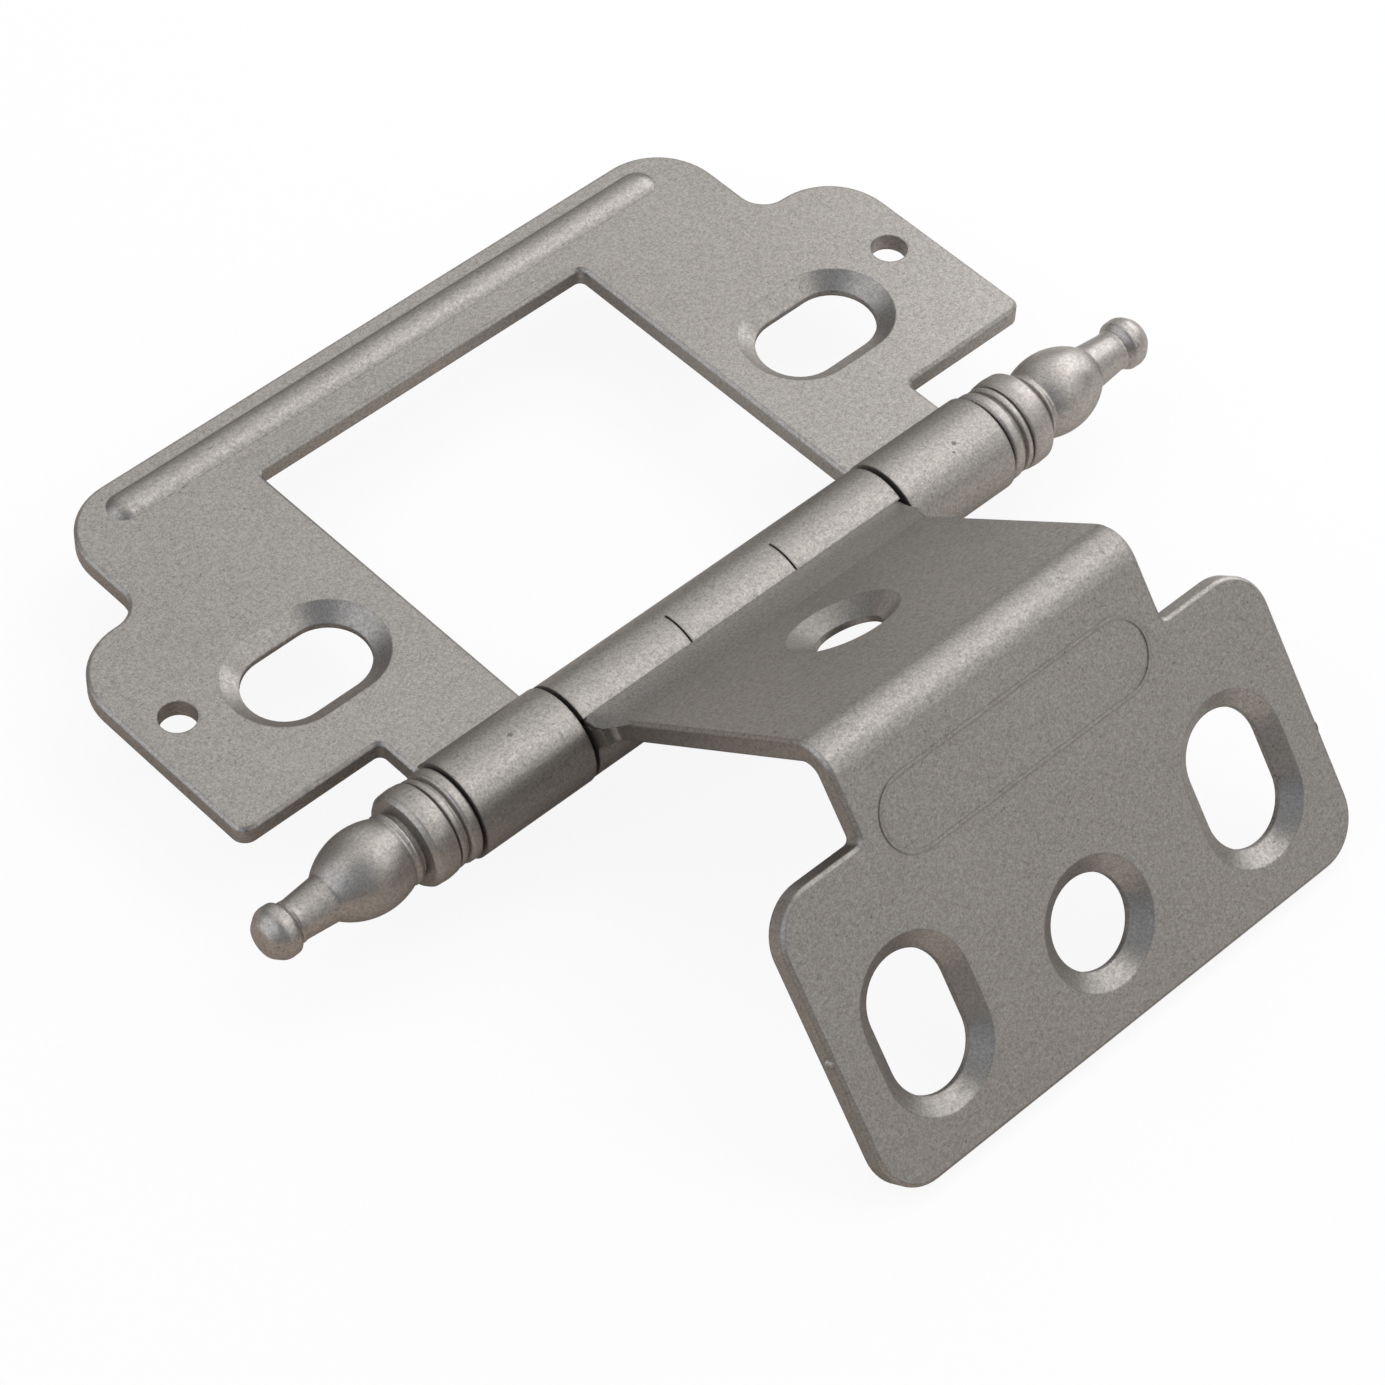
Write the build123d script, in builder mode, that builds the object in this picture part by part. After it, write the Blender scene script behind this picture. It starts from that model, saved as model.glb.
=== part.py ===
from build123d import *
import math
import os

# Partial wrap cabinet hinge, in millimetres.
# The origin is midway between the frame leaf's two screw slots, on its back face.
# The frame leaf lies flat, its countersunk face up (+Z), and the pin runs along X on its -Y side.
# The door leaf reaches out past the pin, swung up from the plane of the frame leaf.

# Sheet steel of both leaves
sheet = 1.2                     # thickness of the blanks
slot_land = 0.35                # straight wall left under each countersink
edge_break = 0.2                # edge that the punch breaks along a countersunk face
bend_radius = 1.0               # hollow of the small bend that leads a leaf into its curl
curl_gap = 0.08                 # between a curl's free edge and the face that it comes down on

# Pin and its running fits
pin_diameter = 3.62
pin_chamfer = 0.3
knuckle_play = 0.09             # radial play of the pin in the frame leaf's knuckles
barrel_play = 0.02              # radial play of the pin in the door leaf's barrel

# Knuckle row
barrel_length = 24.9            # door leaf's barrel, in the middle
barrel_gap = 0.35               # running gap between the barrel and each knuckle
knuckle_length = 8.05

# Frame leaf, drawn from the line of its screw slots
pin_distance = 13.05            # from the screw slots back to the pin's axis
leaf_above_pin = 0.69           # how far the countersunk face stands above the axis
leaf_far_edge = 18.25
top_half_width = 24.55
top_corner = 4.3
tab_reach = 6.25                # how far a tab stands out beyond the upper part
tab_top = 9.3
tab_corner = 4.3
tab_flat = 0.2                  # straight piece between a tab's corner and the hollow beside it
tab_near_edge = 7.13            # from the screw slots back towards the pin
tab_near_corner = 0.9
notch_corner = 0.5
window_far_edge = 13.02
window_corner = 0.5
frame_slot_x = 20.2
frame_slot_length = 8.3
frame_slot_width = 5.2
frame_slot_flare = 1.1          # how far the countersink opens beyond the slot, each side
pilot_x = 28.1
pilot_y = 1.7
pilot_diameter = 2.3
rib_length = 42.8
rib_width = 2.15
rib_height = 0.45
rib_y = 16.05

# Door leaf, drawn about the pin's axis: strip along -Y, countersunk face up, wrap turned down
swing_angle = 37.7              # how far the strip stands above the frame leaf's plane
strip_face = 0.58               # height of its countersunk face above the axis
strip_half_width = 11.62
root_length = 4.1               # full width kept from the axis to the shoulders of the root
root_corner = 0.4
wrap_face = 23.5                # from the axis to the outer face of the wrap
fold_radius = 2.1               # outer radius of the fold between strip and wrap
wrap_half_width = 18.67
wrap_shoulder = 6.1             # from the strip's face down to the shoulders
wrap_drop = 24.55               # from the strip's face down to the lower edge
wrap_corner = 3.0
neck_corner = 0.4
strip_hole_y = 11.8
strip_hole_diameter = 4.06
strip_hole_flare = 1.42
wrap_hole_drop = 18.4
wrap_hole_diameter = 5.5
wrap_hole_flare = 1.1
wrap_slot_x = 12.45
wrap_slot_drop = 16.8
wrap_slot_length = 8.4
wrap_slot_width = 5.5
wrap_slot_flare = 1.05
slit_x = 4.1
slit_width = 0.14
slit_arc = 45.0                 # degrees of the curl that a slit cuts, from its free edge
panel_length = 20.4             # oblong line embossed on the wrap, measured outside
panel_width = 4.7
panel_drop = 6.3                # from the strip's face down to its middle
panel_line = 0.22               # width of the embossed line
panel_height = 0.07

# Finials, turned, one pressed on each end of the pin
finial_gap = 0.2                # end play, between a knuckle's end and the finial's shoulder
pin_slide = 0.1                 # how far the pin lies slid towards +X within that play
finial_grip = 3.6               # length of pin inside a finial
finial_bore_play = 0.01
finial_bore_spare = 0.2         # empty end of the bore, beyond the pin
ring_width = 0.85
ring_radius = 2.93
groove_width = 0.3
groove_radius = 2.7
collar_width = 2.25
collar_radius = 2.94
collar_slope = 0.4              # tapered part of the collar, towards the bulb
collar_edge_radius = 2.75
cove_width = 0.55
waist_radius = 2.15
bulb_peak = 2.1                 # from the waist to the widest point
bulb_radius = 2.58
bulb_crown = 1.2                # rounded stretch over the widest point
bulb_crown_radius = 2.54        # at each end of that stretch
bulb_flank = 1.85               # from the widest point to the bend in the flank behind it
bulb_flank_radius = 2.18
bulb_length = 5.05
bulb_end_radius = 1.49
neck_length = 2.55
neck_radius = 1.25
button_flare = 0.5              # taper from the neck up to the button's rim
button_radius = 1.61
button_rim = 0.6
button_dome = 1.02              # height of the rounded end

pin_radius = pin_diameter / 2
knuckle_bore = pin_radius + knuckle_play
knuckle_radius = knuckle_bore + sheet
barrel_bore = pin_radius + barrel_play
barrel_radius = barrel_bore + sheet
barrel_end = barrel_length / 2
knuckle_start = barrel_end + barrel_gap
knuckle_end = knuckle_start + knuckle_length
tab_half_width = top_half_width + tab_reach
tab_throat = tab_reach - tab_corner - tab_flat
pin_y = -pin_distance
pin_z = sheet - leaf_above_pin
strip_back = strip_face - sheet
finial_seat = pin_slide + knuckle_end + finial_gap
countersink_depth = sheet - slot_land


def polar(radius, angle):
    """Point at a radius and an angle in radians, such as about the pin's axis from the sheet's direction."""
    return (radius * math.cos(angle), radius * math.sin(angle))


def curl_section(radius, bore, face):
    """Section of a curl round the pin, for a sheet that runs out along +X with its face this high."""
    back = face - sheet
    bend_height = back - bend_radius
    reach = math.sqrt((radius + bend_radius) ** 2 - bend_height**2)
    touch_angle = math.atan2(bend_height, reach)
    middle_angle = (math.pi / 2 + math.pi + touch_angle) / 2
    middle = (
        reach + bend_radius * math.cos(middle_angle),
        bend_height + bend_radius * math.sin(middle_angle),
    )
    free_edge = polar(bore, math.asin((face + curl_gap) / bore))
    free_edge_end = (2 * free_edge[0], 2 * free_edge[1])
    with BuildSketch() as section:
        Circle(radius)
        # Small bend that leads from the underside of the sheet into the curl
        with BuildLine():
            ThreePointArc((reach, back), middle, polar(radius, touch_angle))
            Polyline(polar(radius, touch_angle), (0, back), (reach, back))
        make_face()
        Circle(bore, mode=Mode.SUBTRACT)
        # Wedge between the curl's free edge and the face that it comes down on
        with BuildLine():
            Polyline(
                free_edge,
                free_edge_end,
                (free_edge_end[0], face),
                (free_edge[0], face),
                free_edge,
            )
        make_face(mode=Mode.SUBTRACT)
    return section.sketch


def curl(section, length):
    """Curl along X from x = 0, round the axis, its sheet leaving along +Y."""
    with BuildPart() as rolled:
        with BuildSketch(Plane.YZ):
            add(section)
        extrude(amount=length)
    return rolled.part


def opening_outline(length, width):
    """Round, or a slot along X where it is longer than it is wide."""
    if length > width:
        SlotOverall(length, width)
    else:
        Circle(width / 2)


def screw_opening(length, width, flare):
    """Screw slot or hole with its countersink, opening at z = 0, as a body to cut away."""
    with BuildPart() as opening:
        with BuildSketch():
            opening_outline(length + 2 * flare, width + 2 * flare)
        with BuildSketch(Plane.XY.offset(-countersink_depth)):
            opening_outline(length, width)
        loft()
        with BuildSketch(Plane.XY.offset(-countersink_depth)):
            opening_outline(length, width)
        extrude(amount=-2 * slot_land)
    return opening.part


# Pressed rib along the far edge of the frame leaf, flat underneath
crown_radius = ((rib_width / 2) ** 2 + rib_height**2) / (2 * rib_height)
crown_centre = rib_height - crown_radius
rib_straight = rib_length - rib_width
with BuildPart() as rib:
    with BuildSketch(Plane.YZ):
        with Locations((0, crown_centre)):
            Circle(crown_radius)
    extrude(amount=rib_straight / 2, both=True)
    with Locations((rib_straight / 2, 0, crown_centre), (-rib_straight / 2, 0, crown_centre)):
        Sphere(crown_radius)
    split(bisect_by=Plane.XY, keep=Keep.TOP)

knuckle = curl(curl_section(knuckle_radius, knuckle_bore, leaf_above_pin), knuckle_length)
frame_slot = screw_opening(frame_slot_length, frame_slot_width, frame_slot_flare)
arm_root = pin_y + (knuckle_bore + knuckle_radius) / 2

with BuildPart() as frame_leaf:
    # Flat blank with its stepped outline, window and arms
    with BuildSketch() as blank:
        with BuildLine():
            Polyline(
                (0, leaf_far_edge),
                (top_half_width, leaf_far_edge),
                (top_half_width, tab_top),
                (tab_half_width, tab_top),
                (tab_half_width, -tab_near_edge),
                (knuckle_end, -tab_near_edge),
                (knuckle_end, arm_root),
                (knuckle_start, arm_root),
                (knuckle_start, window_far_edge),
                (0, window_far_edge),
                (0, leaf_far_edge),
            )
        make_face()
        for corner, radius in (
            ((top_half_width, leaf_far_edge), top_corner),
            ((top_half_width, tab_top), tab_throat),
            ((tab_half_width, tab_top), tab_corner),
            ((tab_half_width, -tab_near_edge), tab_near_corner),
            ((knuckle_end, -tab_near_edge), notch_corner),
            ((knuckle_start, window_far_edge), window_corner),
        ):
            fillet(blank.vertices().sort_by_distance(corner)[0], radius)
        mirror(about=Plane.YZ)
    extrude(amount=sheet)
    chamfer(frame_leaf.faces().sort_by(Axis.Z)[-1].edges(), edge_break)
    # Knuckles, curled from the arms
    with Locations((knuckle_start, pin_y, pin_z), (-knuckle_end, pin_y, pin_z)):
        add(knuckle)
    # Pressed rib, raised above and hollow below
    with Locations((0, rib_y, sheet)):
        add(rib.part)
    with Locations((0, rib_y, 0)):
        add(rib.part, mode=Mode.SUBTRACT)
    # Countersunk slots and plain pilot holes
    with Locations((frame_slot_x, 0, sheet), (-frame_slot_x, 0, sheet)):
        add(frame_slot, mode=Mode.SUBTRACT)
    with Locations((pilot_x, pilot_y, sheet), (-pilot_x, pilot_y, sheet)):
        Hole(pilot_diameter / 2, depth=2 * sheet)
frame_leaf.part.label = "frame_leaf"

barrel = curl(curl_section(barrel_radius, barrel_bore, strip_face), barrel_length)
strip_hole = screw_opening(strip_hole_diameter, strip_hole_diameter, strip_hole_flare)
wrap_hole = screw_opening(wrap_hole_diameter, wrap_hole_diameter, wrap_hole_flare)
wrap_slot = screw_opening(wrap_slot_length, wrap_slot_width, wrap_slot_flare)
strip_root = (barrel_bore + barrel_radius) / 2
fold_y = fold_radius - wrap_face
fold_z = strip_face - fold_radius
wrap_plane = Plane(origin=(0, -wrap_face, strip_face), x_dir=(1, 0, 0), z_dir=(0, -1, 0))
slit_end = math.asin(strip_face / barrel_bore) + math.radians(slit_arc)

with BuildPart() as door_leaf_flat:
    # Strip, from the barrel to the fold, with its wider root
    with BuildSketch(Plane.XY.offset(strip_back)) as strip:
        with BuildLine():
            Polyline(
                (0, -strip_root),
                (barrel_end, -strip_root),
                (barrel_end, -root_length),
                (strip_half_width, -root_length),
                (strip_half_width, fold_y),
                (0, fold_y),
                (0, -strip_root),
            )
        make_face()
        fillet(strip.vertices().sort_by_distance((strip_half_width, -root_length))[0], root_corner)
        mirror(about=Plane.YZ)
    extrude(amount=sheet)
    # Fold, a quarter turn
    with BuildSketch(Plane.YZ):
        with Locations((fold_y, fold_z)):
            Circle(fold_radius)
            Circle(fold_radius - sheet, mode=Mode.SUBTRACT)
            Rectangle(fold_radius, fold_radius, align=(Align.MAX, Align.MIN), mode=Mode.INTERSECT)
    extrude(amount=strip_half_width, both=True)
    # Wrap, drawn on its outer face, downwards from the level of the strip's face
    with BuildSketch(wrap_plane) as wrap:
        with BuildLine():
            Polyline(
                (0, -fold_radius),
                (strip_half_width, -fold_radius),
                (strip_half_width, -wrap_shoulder),
                (wrap_half_width, -wrap_shoulder),
                (wrap_half_width, -wrap_drop),
                (0, -wrap_drop),
                (0, -fold_radius),
            )
        make_face()
        for corner, radius in (
            ((strip_half_width, -wrap_shoulder), neck_corner),
            ((wrap_half_width, -wrap_shoulder), wrap_corner),
            ((wrap_half_width, -wrap_drop), wrap_corner),
        ):
            fillet(wrap.vertices().sort_by_distance(corner)[0], radius)
        mirror(about=Plane.YZ)
    extrude(amount=-sheet)
    # Outline broken along the countersunk side, all round the strip, the fold and the wrap
    outer_faces = (
        door_leaf_flat.faces().sort_by(Axis.Z)[-1],
        door_leaf_flat.faces().sort_by(Axis.Y)[0],
        door_leaf_flat.faces().filter_by(GeomType.CYLINDER).sort_by(lambda f: abs(f.radius - fold_radius))[0],
    )
    outline = ShapeList()
    for face in outer_faces:
        outline += face.edges()
    inner_seams = (
        outline.filter_by_position(Axis.Y, fold_y, fold_y).filter_by(Axis.X)
        + outline.filter_by_position(Axis.Z, fold_z, fold_z).filter_by(Axis.X)
        + outline.filter_by_position(Axis.Y, -strip_root, -strip_root)
    )
    chamfer([edge for edge in outline if edge not in inner_seams], edge_break)
    # Barrel, curled from the root of the strip
    with Locations((barrel_end, 0, 0)):
        add(barrel, rotation=(0, 0, 180))
    # Two slits that start at the curl's free edge
    for slit_middle in (-slit_x, slit_x):
        slit_plane = Plane(origin=(slit_middle, 0, 0), x_dir=(0, -1, 0), z_dir=(-1, 0, 0))
        with BuildSketch(slit_plane):
            with BuildLine():
                above_strip = strip_face + slit_width / 2
                Polyline(
                    (0, above_strip),
                    (2 * barrel_radius, above_strip),
                    polar(2 * barrel_radius, slit_end),
                    (0, above_strip),
                )
            make_face()
        extrude(amount=slit_width / 2, both=True, mode=Mode.SUBTRACT)
    # Countersunk screw holes and slots
    with Locations((0, -strip_hole_y, strip_face)):
        add(strip_hole, mode=Mode.SUBTRACT)
    with Locations(wrap_plane):
        with Locations((0, -wrap_hole_drop)):
            add(wrap_hole, mode=Mode.SUBTRACT)
        with Locations((wrap_slot_x, -wrap_slot_drop), (-wrap_slot_x, -wrap_slot_drop)):
            add(wrap_slot, rotation=(0, 0, 90), mode=Mode.SUBTRACT)
    # Embossed oblong line, left empty
    with BuildSketch(wrap_plane):
        with Locations((0, -panel_drop)):
            SlotOverall(panel_length, panel_width)
            SlotOverall(panel_length - 2 * panel_line, panel_width - 2 * panel_line, mode=Mode.SUBTRACT)
    extrude(amount=panel_height)

with BuildPart() as door_leaf:
    with Locations((0, pin_y, pin_z)):
        add(door_leaf_flat.part, rotation=(-swing_angle, 0, 0))
door_leaf.part.label = "door_leaf"

with BuildPart() as hinge_pin:
    with BuildSketch(Plane.YZ.offset(pin_slide)):
        with Locations((pin_y, pin_z)):
            Circle(pin_radius)
    extrude(amount=knuckle_end + finial_gap + finial_grip, both=True)
    chamfer(hinge_pin.edges(), pin_chamfer)
hinge_pin.part.label = "hinge_pin"

with BuildPart() as finial_right:
    # Half profile, from the shoulder beside the knuckle out to the button at the tip
    ring_end = finial_seat + ring_width
    collar_start = ring_end + groove_width
    cove_start = collar_start + collar_width
    waist = cove_start + cove_width
    bulb_widest = waist + bulb_peak
    bulb_end = waist + bulb_length
    neck_end = bulb_end + neck_length
    rim_start = neck_end + button_flare
    dome_start = rim_start + button_rim
    tip = dome_start + button_dome
    dome_radius = (button_radius**2 + button_dome**2) / (2 * button_dome)
    half_dome_angle = math.asin(button_radius / dome_radius) / 2
    dome_middle = polar(dome_radius, half_dome_angle)
    bore_radius = pin_radius + finial_bore_play
    bore_end = finial_seat + finial_grip + finial_bore_spare
    with BuildSketch(Plane(origin=(0, pin_y, pin_z))):
        with BuildLine():
            Polyline(
                (bore_end, 0),
                (bore_end, bore_radius),
                (finial_seat, bore_radius),
                (finial_seat, ring_radius),
                (ring_end, ring_radius),
                (ring_end, groove_radius),
                (collar_start, groove_radius),
                (collar_start, collar_radius),
                (cove_start - collar_slope, collar_radius),
                (cove_start, collar_edge_radius),
                (waist, waist_radius),
                (bulb_widest - bulb_crown / 2, bulb_crown_radius),
            )
            ThreePointArc(
                (bulb_widest - bulb_crown / 2, bulb_crown_radius),
                (bulb_widest, bulb_radius),
                (bulb_widest + bulb_crown / 2, bulb_crown_radius),
            )
            Polyline(
                (bulb_widest + bulb_crown / 2, bulb_crown_radius),
                (bulb_widest + bulb_flank, bulb_flank_radius),
                (bulb_end, bulb_end_radius),
                (neck_end, neck_radius),
                (rim_start, button_radius),
                (dome_start, button_radius),
            )
            ThreePointArc(
                (dome_start, button_radius),
                (tip - dome_radius + dome_middle[0], dome_middle[1]),
                (tip, 0),
            )
            Line((tip, 0), (bore_end, 0))
        make_face()
    revolve(axis=Axis((0, pin_y, pin_z), (1, 0, 0)))
finial_right.part.label = "finial_right"

with BuildPart() as finial_left:
    mirror(finial_right.part, about=Plane.YZ.offset(pin_slide))
finial_left.part.label = "finial_left"

os.makedirs("parts", exist_ok=True)
export_step(frame_leaf.part, "parts/frame_leaf.step")
export_step(door_leaf.part, "parts/door_leaf.step")
export_step(hinge_pin.part, "parts/hinge_pin.step")
export_step(finial_left.part, "parts/finial_left.step")
export_step(finial_right.part, "parts/finial_right.step")
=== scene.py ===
"""Partial wrap cabinet hinge on a pale floor: coatings, turned finials, light and camera."""

import math

import bmesh
import bpy
from mathutils import Matrix, Vector


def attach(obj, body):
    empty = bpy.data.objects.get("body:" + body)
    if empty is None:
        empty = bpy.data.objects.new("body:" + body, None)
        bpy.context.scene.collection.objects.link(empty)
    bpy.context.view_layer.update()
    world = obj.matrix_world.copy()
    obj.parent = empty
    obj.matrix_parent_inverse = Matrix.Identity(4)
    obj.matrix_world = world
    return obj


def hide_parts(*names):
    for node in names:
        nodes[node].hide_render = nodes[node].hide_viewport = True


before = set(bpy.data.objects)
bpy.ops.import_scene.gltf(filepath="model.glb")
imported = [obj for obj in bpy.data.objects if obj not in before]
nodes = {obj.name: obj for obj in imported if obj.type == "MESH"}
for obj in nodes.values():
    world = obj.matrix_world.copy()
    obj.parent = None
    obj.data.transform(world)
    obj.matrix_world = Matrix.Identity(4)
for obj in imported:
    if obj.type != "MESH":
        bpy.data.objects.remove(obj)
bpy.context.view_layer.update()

MM = 0.001

# Pin's axis and the place of the finials along it, in millimetres
PIN_Y = -13.05
PIN_Z = 0.51
PIN_SLIDE = 0.1
FINIAL_SEAT = 21.05
FINIAL_BORE = 1.82
FINIAL_BORE_END = 24.85

# How far the door leaf's strip stands above the frame leaf at rest
STRIP_SWING = math.radians(37.7)


# Shader groups

NOISE_MIDDLE = (0.3, 0.7)
FINE_GRAINS = 8200.0
COARSE_GRAINS = 3900.0
CLOUDS = 110.0
SPECKS = 5600.0
SPECK_CLUSTERS = 420.0
RAGGED_EDGES = 6000.0


def new_group(name, inputs, outputs):
    """Empty shader group with named sockets; inputs are (name, kind, value)."""
    group = bpy.data.node_groups.new(name, "ShaderNodeTree")
    for label, kind, value in inputs:
        socket = group.interface.new_socket(label, in_out="INPUT", socket_type="NodeSocket" + kind)
        socket.default_value = value
    for label, kind in outputs:
        group.interface.new_socket(label, in_out="OUTPUT", socket_type="NodeSocket" + kind)
    return group


class Wiring:
    """Short names for adding and joining nodes in one node tree."""

    def __init__(self, tree):
        self.tree = tree

    def node(self, kind, **settings):
        made = self.tree.nodes.new(kind)
        for name, value in settings.items():
            setattr(made, name, value)
        return made

    def feed(self, socket, value):
        """Joins an output to a socket, or sets the socket to a plain value."""
        if isinstance(value, bpy.types.NodeSocket):
            self.tree.links.new(value, socket)
        else:
            socket.default_value = value

    def calc(self, operation, first, second):
        made = self.node("ShaderNodeMath", operation=operation)
        self.feed(made.inputs[0], first)
        self.feed(made.inputs[1], second)
        return made.outputs[0]

    def noise(self, vector, scale, detail, roughness=0.5):
        """Noise between 0 and 1, mostly within NOISE_MIDDLE; scale is in grains per metre."""
        made = self.node("ShaderNodeTexNoise")
        self.feed(made.inputs["Vector"], vector)
        made.inputs["Scale"].default_value = scale
        made.inputs["Detail"].default_value = detail
        made.inputs["Roughness"].default_value = roughness
        return made.outputs["Fac"]

    def spread(self, value, low, high, new_low, new_high, soft=False):
        """Maps low..high onto new_low..new_high, held at both ends; soft eases in and out."""
        easing = "SMOOTHSTEP" if soft else "LINEAR"
        made = self.node("ShaderNodeMapRange", interpolation_type=easing)
        self.feed(made.inputs["Value"], value)
        ends = (("From Min", low), ("From Max", high), ("To Min", new_low), ("To Max", new_high))
        for label, number in ends:
            made.inputs[label].default_value = number
        return made.outputs["Result"]

    def blend(self, factor, first, second, blend_type="MIX"):
        made = self.node("ShaderNodeMix", data_type="RGBA", blend_type=blend_type)
        self.feed(made.inputs["Factor"], factor)
        self.feed(made.inputs["A"], first)
        self.feed(made.inputs["B"], second)
        return made.outputs["Result"]


def sandy_coating_group():
    """Fine sandy coating: light and dark grains, a few dark specks and faint clouds."""
    group = new_group(
        "sandy_coating",
        (
            ("Base", "Color", (0.3, 0.285, 0.265, 1.0)),
            ("Speck", "Color", (0.08, 0.07, 0.065, 1.0)),
            ("Rough", "Float", 0.45),
            ("Grain", "Float", 1.0),
        ),
        (("Color", "Color"), ("Roughness", "Float"), ("Height", "Float")),
    )
    w = Wiring(group)
    given = w.node("NodeGroupInput").outputs
    result = w.node("NodeGroupOutput").inputs
    place = w.node("ShaderNodeTexCoord").outputs["Object"]
    fine = w.noise(place, FINE_GRAINS, 1.0)
    coarse = w.noise(place, COARSE_GRAINS, 1.0, 0.55)
    clouds = w.noise(place, CLOUDS, 1.0)
    fine_tone = w.spread(fine, *NOISE_MIDDLE, -0.17, 0.17)
    coarse_tone = w.spread(coarse, *NOISE_MIDDLE, -0.09, 0.09)
    cloud_tone = w.spread(clouds, *NOISE_MIDDLE, -0.02, 0.02)
    grains = w.calc("MULTIPLY", w.calc("ADD", fine_tone, coarse_tone), given["Grain"])
    light = w.calc("ADD", w.calc("ADD", 1.0, grains), cloud_tone)
    tinted = w.blend(1.0, given["Base"], light, "MULTIPLY")
    single_specks = w.spread(w.noise(place, SPECKS, 0.0), 0.70, 0.84, 0.0, 0.5)
    clusters = w.spread(w.noise(place, SPECK_CLUSTERS, 0.0), 0.40, 0.62, 0.15, 1.0)
    specks = w.calc("MULTIPLY", single_specks, clusters)
    w.feed(result["Color"], w.blend(specks, tinted, given["Speck"]))
    gloss_change = w.spread(coarse, *NOISE_MIDDLE, 0.05, -0.05)
    w.feed(result["Roughness"], w.calc("ADD", given["Rough"], gloss_change))
    height = w.calc("ADD", w.calc("MULTIPLY", coarse, 0.7), w.calc("MULTIPLY", fine, 0.3))
    w.feed(result["Height"], height)
    return group


def coating_pits_group():
    """Few small pits in the coating, each at its own place on the hinge, in millimetres."""
    pits = (
        # centre, radius
        ((17.61, -13.82, 3.51), 0.24),
        ((17.2, -14.3, 3.4), 0.12),
        ((-16.53, -13.07, 3.61), 0.22),
        ((-10.97, -27.66, 12.54), 0.16),
        ((25.88, -13.18, 3.06), 0.2),
        ((-28.9, 2.2, 1.2), 0.14),
    )
    group = new_group("coating_pits", (("Depth", "Float", 1.0),), (("Mask", "Float"),))
    w = Wiring(group)
    given = w.node("NodeGroupInput").outputs
    place = w.node("ShaderNodeTexCoord").outputs["Object"]
    ragged = w.spread(w.noise(place, RAGGED_EDGES, 0.0), *NOISE_MIDDLE, -0.06 * MM, 0.06 * MM)
    mask = 0.0
    for centre, radius in pits:
        away = w.node("ShaderNodeVectorMath", operation="DISTANCE")
        w.feed(away.inputs[0], place)
        away.inputs[1].default_value = Vector(centre) * MM
        near = w.calc("ADD", away.outputs["Value"], ragged)
        pit = w.spread(near, 0.35 * radius * MM, radius * MM, 1.0, 0.0, soft=True)
        mask = w.calc("MAXIMUM", mask, pit)
    w.feed(w.node("NodeGroupOutput").inputs["Mask"], w.calc("MULTIPLY", mask, given["Depth"]))
    return group


SANDY_COATING = sandy_coating_group()
COATING_PITS = coating_pits_group()
PIT_DEPTH = 0.7
PIT_SINK = 3.0
GRAIN_HEIGHT = 0.02
GRAIN_STRENGTH = 0.45
GRAZING_TINT = 0.7
FLAT, WELL_ROUND = 0.998, 0.92
EDGE_PAINTED_SHADE = 0.65
EDGE_SHADE_TONE = 0.45


def coated_metal(name, base, speck, rough, metallic, grain, edge_rounding):
    """Metal under the sandy coating; within edge_rounding mm an edge looks rounded and carries
    painted shade.
    """
    material = bpy.data.materials.new(name)
    material.use_nodes = True
    w = Wiring(material.node_tree)
    surface = material.node_tree.nodes["Principled BSDF"]
    coating = w.node("ShaderNodeGroup", node_tree=SANDY_COATING)
    coating.inputs["Base"].default_value = (*base, 1.0)
    coating.inputs["Speck"].default_value = (*speck, 1.0)
    coating.inputs["Rough"].default_value = rough
    coating.inputs["Grain"].default_value = grain
    pits = w.node("ShaderNodeGroup", node_tree=COATING_PITS)
    pits.inputs["Depth"].default_value = PIT_DEPTH
    # Painted shade: each pit is coloured dark with the speck colour as well as sunk by the bump.
    colour = w.blend(pits.outputs["Mask"], coating.outputs["Color"], (*speck, 1.0))
    bump = w.node("ShaderNodeBump")
    bump.inputs["Strength"].default_value = GRAIN_STRENGTH
    bump.inputs["Distance"].default_value = GRAIN_HEIGHT * MM
    sunk = w.calc("MULTIPLY", pits.outputs["Mask"], PIT_SINK)
    w.feed(bump.inputs["Height"], w.calc("SUBTRACT", coating.outputs["Height"], sunk))
    if edge_rounding:
        rounded = w.node("ShaderNodeBevel", samples=2)
        rounded.inputs["Radius"].default_value = edge_rounding * MM
        turned_away = w.node("ShaderNodeVectorMath", operation="DOT_PRODUCT")
        w.feed(turned_away.inputs[0], rounded.outputs["Normal"])
        w.feed(turned_away.inputs[1], w.node("ShaderNodeNewGeometry").outputs["Normal"])
        # Painted shade: the colour turns darker where the rounded normal leans off the face, along
        # every edge; it also dims the edges' glints.
        edge_shade = w.spread(turned_away.outputs["Value"], FLAT, WELL_ROUND, 0.0, EDGE_PAINTED_SHADE)
        colour = w.blend(edge_shade, colour, (*(EDGE_SHADE_TONE * part for part in base), 1.0))
        w.feed(bump.inputs["Normal"], rounded.outputs["Normal"])
    surface.inputs["Metallic"].default_value = metallic
    surface.inputs["Specular Tint"].default_value = (*3 * (GRAZING_TINT,), 1.0)
    w.feed(surface.inputs["Base Color"], colour)
    w.feed(surface.inputs["Roughness"], coating.outputs["Roughness"])
    w.feed(surface.inputs["Normal"], bump.outputs["Normal"])
    return material


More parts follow.
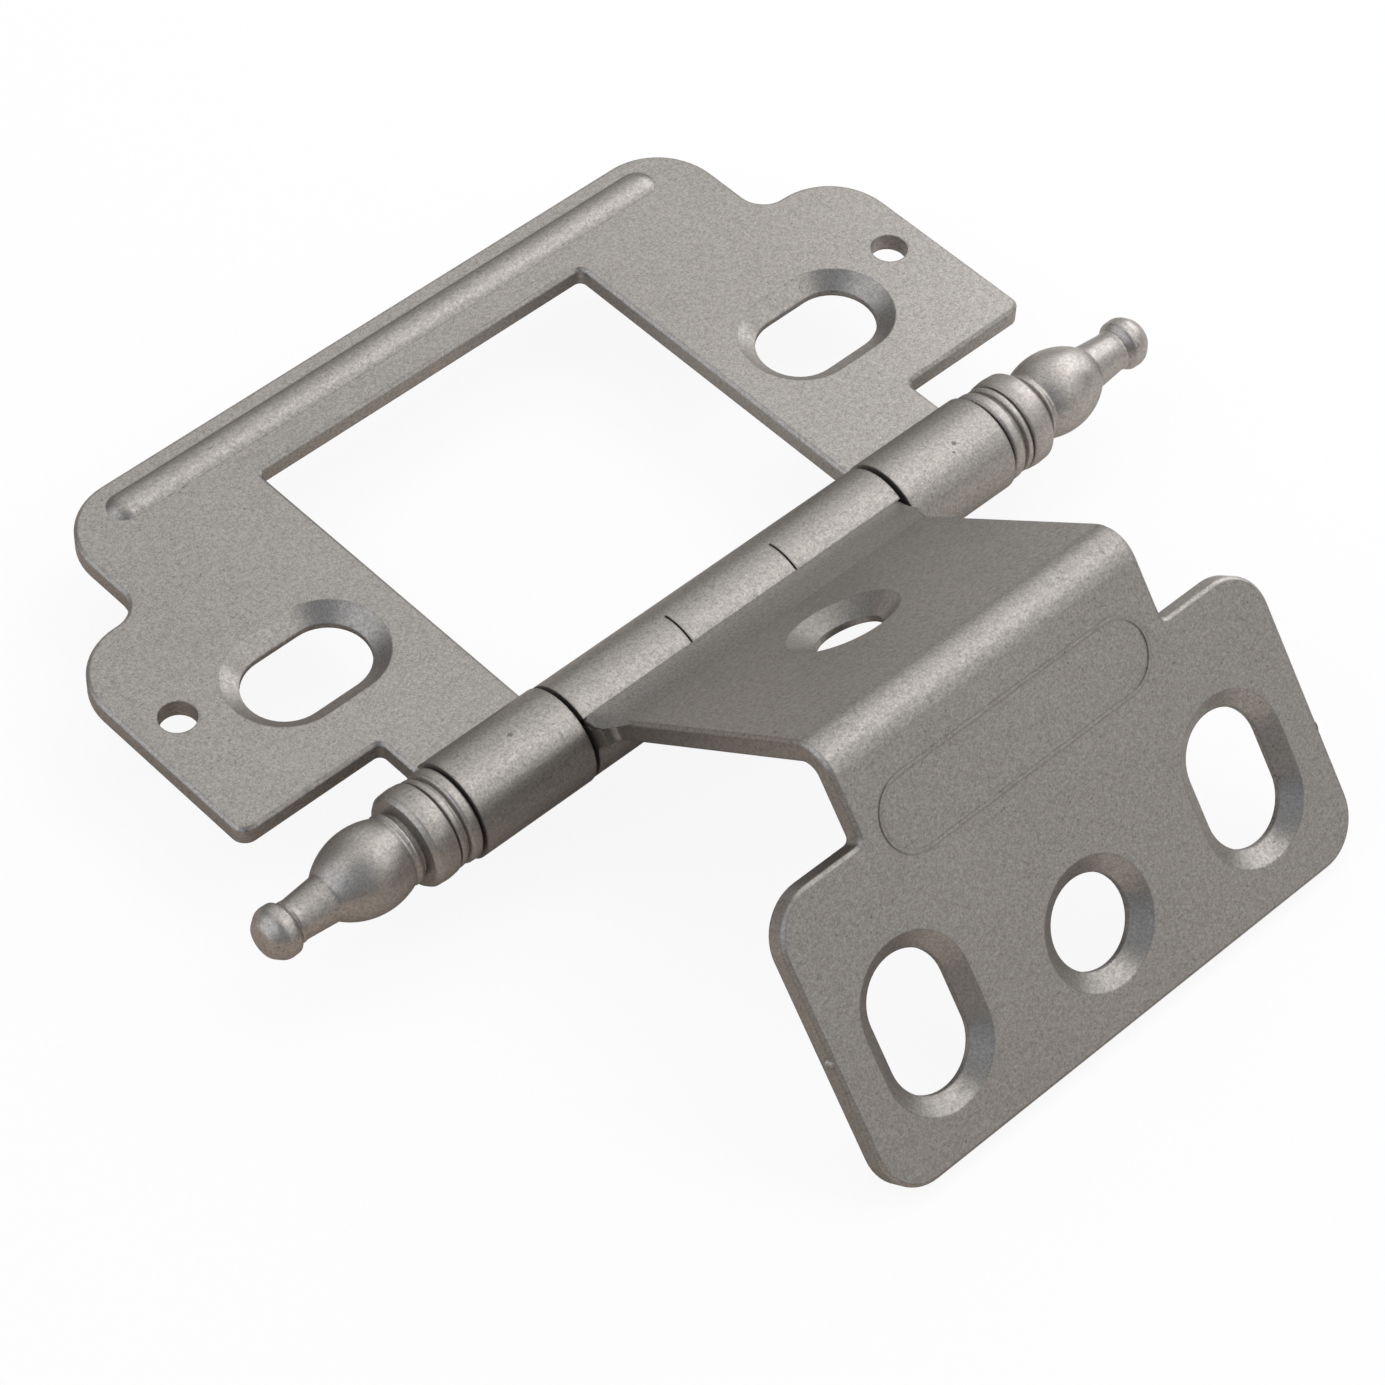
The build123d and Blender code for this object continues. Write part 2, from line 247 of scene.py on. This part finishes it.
leaf_coating = coated_metal(
    "satin_leaf_coating",
    base=(0.32, 0.305, 0.288),
    speck=(0.09, 0.08, 0.07),
    rough=0.39,
    metallic=0.9,
    grain=1.0,
    edge_rounding=0.18,
)
# Lighter base than the leaf coating: painted light that lifts the finials' highlights.
finial_coating = coated_metal(
    "satin_finial_coating",
    base=(0.37, 0.35, 0.33),
    speck=(0.1, 0.09, 0.08),
    rough=0.4,
    metallic=0.9,
    grain=0.9,
    edge_rounding=0,
)
pin_steel = coated_metal(
    "dull_pin_steel",
    base=(0.16, 0.15, 0.14),
    speck=(0.06, 0.06, 0.06),
    rough=0.5,
    metallic=0.9,
    grain=0.8,
    edge_rounding=0.1,
)


def dress(piece, material):
    """Gives a piece its one material."""
    piece.data.materials.clear()
    piece.data.materials.append(material)


dress(nodes["frame_leaf"], leaf_coating)
dress(nodes["door_leaf"], leaf_coating)
dress(nodes["hinge_pin"], pin_steel)
dress(nodes["finial_left"], finial_coating)
dress(nodes["finial_right"], finial_coating)


def piece_from(name, mesh):
    """New object in the scene, made from the finished bmesh."""
    data = bpy.data.meshes.new(name)
    mesh.to_mesh(data)
    mesh.free()
    piece = bpy.data.objects.new(name, data)
    bpy.context.scene.collection.objects.link(piece)
    return piece


# Turned finials

def eased(corners, steps=6):
    """Polyline of (x, r, rounding) corners as points, each corner rounded by its own radius."""
    points = []
    last = len(corners) - 1
    for i, (x, r, rounding) in enumerate(corners):
        here = Vector((x, r))
        if i in (0, last) or rounding <= 0:
            points.append(here)
            continue
        back = Vector(corners[i - 1][:2]) - here
        ahead = Vector(corners[i + 1][:2]) - here
        half_angle = back.angle(ahead) / 2
        reach = min(rounding / math.tan(half_angle), 0.49 * back.length, 0.49 * ahead.length)
        start = here + back.normalized() * reach
        end = here + ahead.normalized() * reach
        for k in range(steps + 1):
            t = k / steps
            points.append(start * (1 - t) ** 2 + here * 2 * t * (1 - t) + end * t**2)
    return points


def finial_profile():
    """Half profile in millimetres, from the bore's end round to the button's dome."""
    seat = FINIAL_SEAT
    bulb_widest = 27.1
    bulb_radius = 2.58
    bulb_arc = 4.45
    bulb_start = 25.22
    bulb_end = 30.05
    bulb_steps = 24
    bulb_end_rounding = 0.45
    bulb = []
    for k in range(bulb_steps + 1):
        x = bulb_start + (bulb_end - bulb_start) * k / bulb_steps
        r = bulb_radius - bulb_arc + math.sqrt(bulb_arc**2 - (x - bulb_widest) ** 2)
        bulb.append((x, r, bulb_end_rounding if k == bulb_steps else 0))
    return eased(
        [
            # bore
            (FINIAL_BORE_END, 0.0, 0),
            (FINIAL_BORE_END, FINIAL_BORE, 0),
            (seat, FINIAL_BORE, 0),
            # ring
            (seat, 2.93, 0.26),
            (21.84, 2.92, 0.26),
            (21.96, 2.56, 0.06),
            (22.14, 2.56, 0.06),
            # bead
            (22.22, 2.84, 0.12),
            (22.56, 2.86, 0.1),
            (22.62, 2.64, 0.03),
            (22.70, 2.64, 0.03),
            # collar
            (22.74, 2.92, 0.16),
            (23.4, 2.99, 1.2),
            (24.14, 2.94, 0.24),
            (24.42, 2.72, 0.16),
            # groove and foot of the bulb
            (24.54, 1.96, 0.06),
            (24.80, 1.96, 0.06),
            (24.92, 2.27, 0.12),
            (25.12, 2.27, 0.1),
            *bulb,
            # neck
            (32.2, 1.27, 0.2),
            (32.5, 1.32, 0.08),
            (32.62, 1.24, 0.05),
            # button
            (32.95, 1.60, 0.35),
            (33.75, 1.63, 0.9),
            (34.5, 1.05, 0.7),
            (34.72, 0.0, 0),
        ]
    )


def turned(name, profile, side, around=144):
    """Spins a half profile about the pin's axis; side is -1 at the left end, 1 at the right."""
    mesh = bmesh.new()
    rings = []
    for x, r in profile:
        centre = Vector((side * x + PIN_SLIDE, PIN_Y, PIN_Z))
        if r <= 0:
            rings.append([mesh.verts.new(centre * MM)])
            continue
        ring = []
        for k in range(around):
            angle = 2 * math.pi * k / around
            offset = Vector((0, math.cos(angle), math.sin(angle))) * r
            ring.append(mesh.verts.new((centre + offset) * MM))
        rings.append(ring)
    for first, second in zip(rings, rings[1:]):
        for k in range(around):
            corners = [first[k % len(first)], first[(k + 1) % len(first)]]
            corners += [second[(k + 1) % len(second)], second[k % len(second)]]
            corners = list(dict.fromkeys(corners))
            mesh.faces.new(corners)
    bmesh.ops.recalc_face_normals(mesh, faces=mesh.faces)
    piece = piece_from(name, mesh)
    piece.data.shade_smooth()
    return piece


for name, side in (("finial_left", -1), ("finial_right", 1)):
    finial = turned("turned_" + name, finial_profile(), side)
    dress(finial, finial_coating)
    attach(finial, "frame_side")
    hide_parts(name)


# Root of the strip, where the coating bridges the seam under the barrel's free edge

def root_ramp():
    """Low ramp on the strip's face, from the barrel's free edge out onto the strip."""
    run_out = Vector((-math.cos(STRIP_SWING), math.sin(STRIP_SWING)))
    up = Vector((math.sin(STRIP_SWING), math.cos(STRIP_SWING)))
    strip_face = 0.58
    seam = 2.82
    seam_height = 1.13
    sunk = 0.3
    steps = 8
    steps_in_barrel = 2
    steps_in_strip = 3
    stations = (
        # x, how far from the axis the ramp reaches there, share of its height
        (-12.4, 3.9, 0.5),
        (-12.2, 4.0, 0.9),
        (-11.2, 5.9, 1.0),
        (11.2, 5.9, 1.0),
        (12.2, 4.0, 0.9),
        (12.4, 3.9, 0.5),
    )
    mesh = bmesh.new()
    rings = []
    for x, reach, share in stations:
        rise = share * (seam_height - strip_face)
        section = [(seam - sunk, strip_face - sunk)]
        for step in range(-steps_in_barrel, steps + steps_in_strip + 1):
            left = 1 - step / steps
            height = strip_face + rise * left * (0.5 + 0.5 * abs(left))
            section.append((reach - left * (reach - seam), height))
        ring = []
        for along, height in section:
            place = Vector((PIN_Y, PIN_Z)) + along * run_out + height * up
            ring.append(mesh.verts.new(Vector((x, *place)) * MM))
        rings.append(ring)
    for first, second in zip(rings, rings[1:]):
        for k in range(len(first)):
            j = (k + 1) % len(first)
            mesh.faces.new((first[k], first[j], second[j], second[k]))
    mesh.faces.new(rings[0])
    mesh.faces.new(list(reversed(rings[-1])))
    bmesh.ops.recalc_face_normals(mesh, faces=mesh.faces)
    for face in mesh.faces:
        is_top = face.normal.yz.dot(up) > 0.7
        face.smooth = is_top
    piece = piece_from("strip_root_ramp", mesh)
    dress(piece, leaf_coating)
    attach(piece, "door_side")


root_ramp()


# Burrs where the blank was cut from its strip

def burr(name, place, size):
    """Small rounded lump of coating over a sheared burr, half sunk in the wrap's edge."""
    unevenness = 0.12
    mesh = bmesh.new()
    bmesh.ops.create_icosphere(mesh, subdivisions=3, radius=1.0)
    turn = Matrix.Rotation(-STRIP_SWING, 3, "X")
    for vertex in mesh.verts:
        lumpy = 1 + unevenness * math.sin(5 * vertex.co.y + 2 * vertex.co.z)
        shaped = Vector(part * half * lumpy for part, half in zip(vertex.co, size))
        vertex.co = (Vector(place) + turn @ shaped) * MM
    piece = piece_from(name, mesh)
    piece.data.shade_smooth()
    dress(piece, leaf_coating)
    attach(piece, "door_side")


burr("wrap_left_burr", (-18.62, -40.3, 2.9), (0.26, 0.4, 0.34))
burr("wrap_right_burr", (18.58, -41.3, 1.6), (0.16, 0.4, 0.55))


# Floor

FLOOR_LEVEL = -4.87
FLOOR_SIDE = 3.0
FLOOR_GLOW = 0.9
WARM_PAINTED_SHADE = (0.68, 0.58, 0.50, 1.0)
PALE_SHADE = (0.97, 0.93, 0.89, 1.0)
SEEN_SHADE = (0.9, 0.9, 0.9, 1.0)
SHADE_CHANGE = 0.05


def pale_floor_material():
    """Nearly white where it is seen; as a reflector it is warmer and darker on the left, painted
    shade in what the hinge reflects.
    """
    material = bpy.data.materials.new("pale_floor")
    material.use_nodes = True
    material.node_tree.nodes.clear()
    w = Wiring(material.node_tree)
    sides = w.node("ShaderNodeSeparateXYZ")
    w.feed(sides.inputs[0], w.node("ShaderNodeTexCoord").outputs["Object"])
    # Painted shade: the floor that the hinge reflects is darker and warmer left of the middle than
    # right of it.
    to_right = w.spread(sides.outputs["X"], -SHADE_CHANGE, SHADE_CHANGE, 0.0, 1.0, soft=True)
    reflecting = w.node("ShaderNodeBsdfDiffuse")
    w.feed(reflecting.inputs["Color"], w.blend(to_right, WARM_PAINTED_SHADE, PALE_SHADE))
    matt = w.node("ShaderNodeBsdfDiffuse")
    matt.inputs["Color"].default_value = SEEN_SHADE
    glow = w.node("ShaderNodeEmission")
    glow.inputs["Color"].default_value = (1.0, 1.0, 1.0, 1.0)
    glow.inputs["Strength"].default_value = 1.0
    seen = w.node("ShaderNodeMixShader")
    seen.inputs["Fac"].default_value = FLOOR_GLOW
    w.feed(seen.inputs[1], matt.outputs[0])
    w.feed(seen.inputs[2], glow.outputs[0])
    surface = w.node("ShaderNodeMixShader")
    w.feed(surface.inputs["Fac"], w.node("ShaderNodeLightPath").outputs["Is Camera Ray"])
    w.feed(surface.inputs[1], reflecting.outputs[0])
    w.feed(surface.inputs[2], seen.outputs[0])
    w.feed(w.node("ShaderNodeOutputMaterial").inputs["Surface"], surface.outputs[0])
    return material


bpy.ops.mesh.primitive_plane_add(size=FLOOR_SIDE, location=(0, 0, FLOOR_LEVEL * MM))
floor = bpy.context.active_object
floor.name = "pale_floor"
floor.data.materials.append(pale_floor_material())


# Studio light: broad soft patches round the room, and one softbox low on the right

WARM_WHITE = (1.0, 0.99, 0.97)
COOL_WHITE = (0.92, 0.95, 1.0)
PALE_BLUE = (0.66, 0.80, 1.0)
ROOM_PATCHES = (
    # name, direction, cosine at the patch's edge, colour, strength
    ("high_back", (0.46, 0.70, 0.55), 0.86, WARM_WHITE, 0.75),
    ("overhead_back", (0.46, 0.40, 0.79), 0.86, WARM_WHITE, 0.3),
    ("overhead", (0.46, 0.05, 0.89), 0.86, WARM_WHITE, 1.2),
    ("overhead_front", (0.46, -0.28, 0.84), 0.90, WARM_WHITE, 1.1),
    ("high_front", (0.46, -0.62, 0.63), 0.86, WARM_WHITE, 0.85),
    ("low_front", (0.46, -0.85, 0.25), 0.80, WARM_WHITE, 0.42),
    ("left_side", (-0.85, 0.30, 0.45), 0.60, COOL_WHITE, 1.3),
    ("camera_side", (-0.45, -0.55, 0.70), 0.70, PALE_BLUE, 0.24),
    ("overhead_left", (-0.16, 0.35, 0.92), 0.90, WARM_WHITE, 0.8),
)
ROOM_AMBIENT = 0.18


def studio_room():
    """World of soft bright patches over an even dim grey."""
    world = bpy.data.worlds.new("studio_room")
    world.use_nodes = True
    w = Wiring(world.node_tree)
    direction = w.node("ShaderNodeTexCoord").outputs["Generated"]
    total = (*3 * (ROOM_AMBIENT,), 1.0)
    for name, aim, edge, colour, strength in ROOM_PATCHES:
        facing = w.node("ShaderNodeVectorMath", operation="DOT_PRODUCT")
        w.feed(facing.inputs[0], direction)
        facing.inputs[1].default_value = Vector(aim).normalized()
        amount = w.spread(facing.outputs["Value"], edge, 1.0, 0.0, strength, soft=True)
        patch = w.blend(1.0, (*colour, 1.0), amount, "MULTIPLY")
        patch.node.name = name
        total = w.blend(1.0, total, patch, "ADD")
    background = world.node_tree.nodes["Background"]
    w.feed(background.inputs["Color"], total)
    background.inputs["Strength"].default_value = 1.0
    return world


bpy.context.scene.world = studio_room()


def softbox(name, place, aim, side, power):
    """Square area light at place, turned to face aim, in millimetres."""
    lamp = bpy.data.lights.new(name, "AREA")
    lamp.shape = "SQUARE"
    lamp.size = side * MM
    lamp.energy = power
    holder = bpy.data.objects.new(name, lamp)
    bpy.context.scene.collection.objects.link(holder)
    holder.location = Vector(place) * MM
    holder.rotation_euler = (Vector(aim) - Vector(place)).to_track_quat("-Z", "Y").to_euler()


softbox("low_right_softbox", place=(200, 20, 90), aim=(20, -10, 0), side=160, power=0.19)


# Camera, at the photo's own viewing angle

CAMERA_PLACE = (-123.49, -130.66, 196.14)
CAMERA_RIGHT = (0.72515, -0.68770, 0.03500)
CAMERA_UP = (0.50992, 0.57046, 0.64385)
CAMERA_BACK = (-0.46274, -0.44905, 0.76435)

camera_data = bpy.data.cameras.new("photo_camera")
camera_data.sensor_width = 36.0
camera_data.lens = 117.862
camera_data.clip_start = 0.01
camera_data.clip_end = 10.0
camera = bpy.data.objects.new("photo_camera", camera_data)
bpy.context.scene.collection.objects.link(camera)
turn = Matrix((CAMERA_RIGHT, CAMERA_UP, CAMERA_BACK)).transposed().to_4x4()
camera.matrix_world = Matrix.Translation(Vector(CAMERA_PLACE) * MM) @ turn
bpy.context.scene.camera = camera

bpy.context.scene.view_settings.view_transform = "Standard"
bpy.context.scene.view_settings.look = "None"
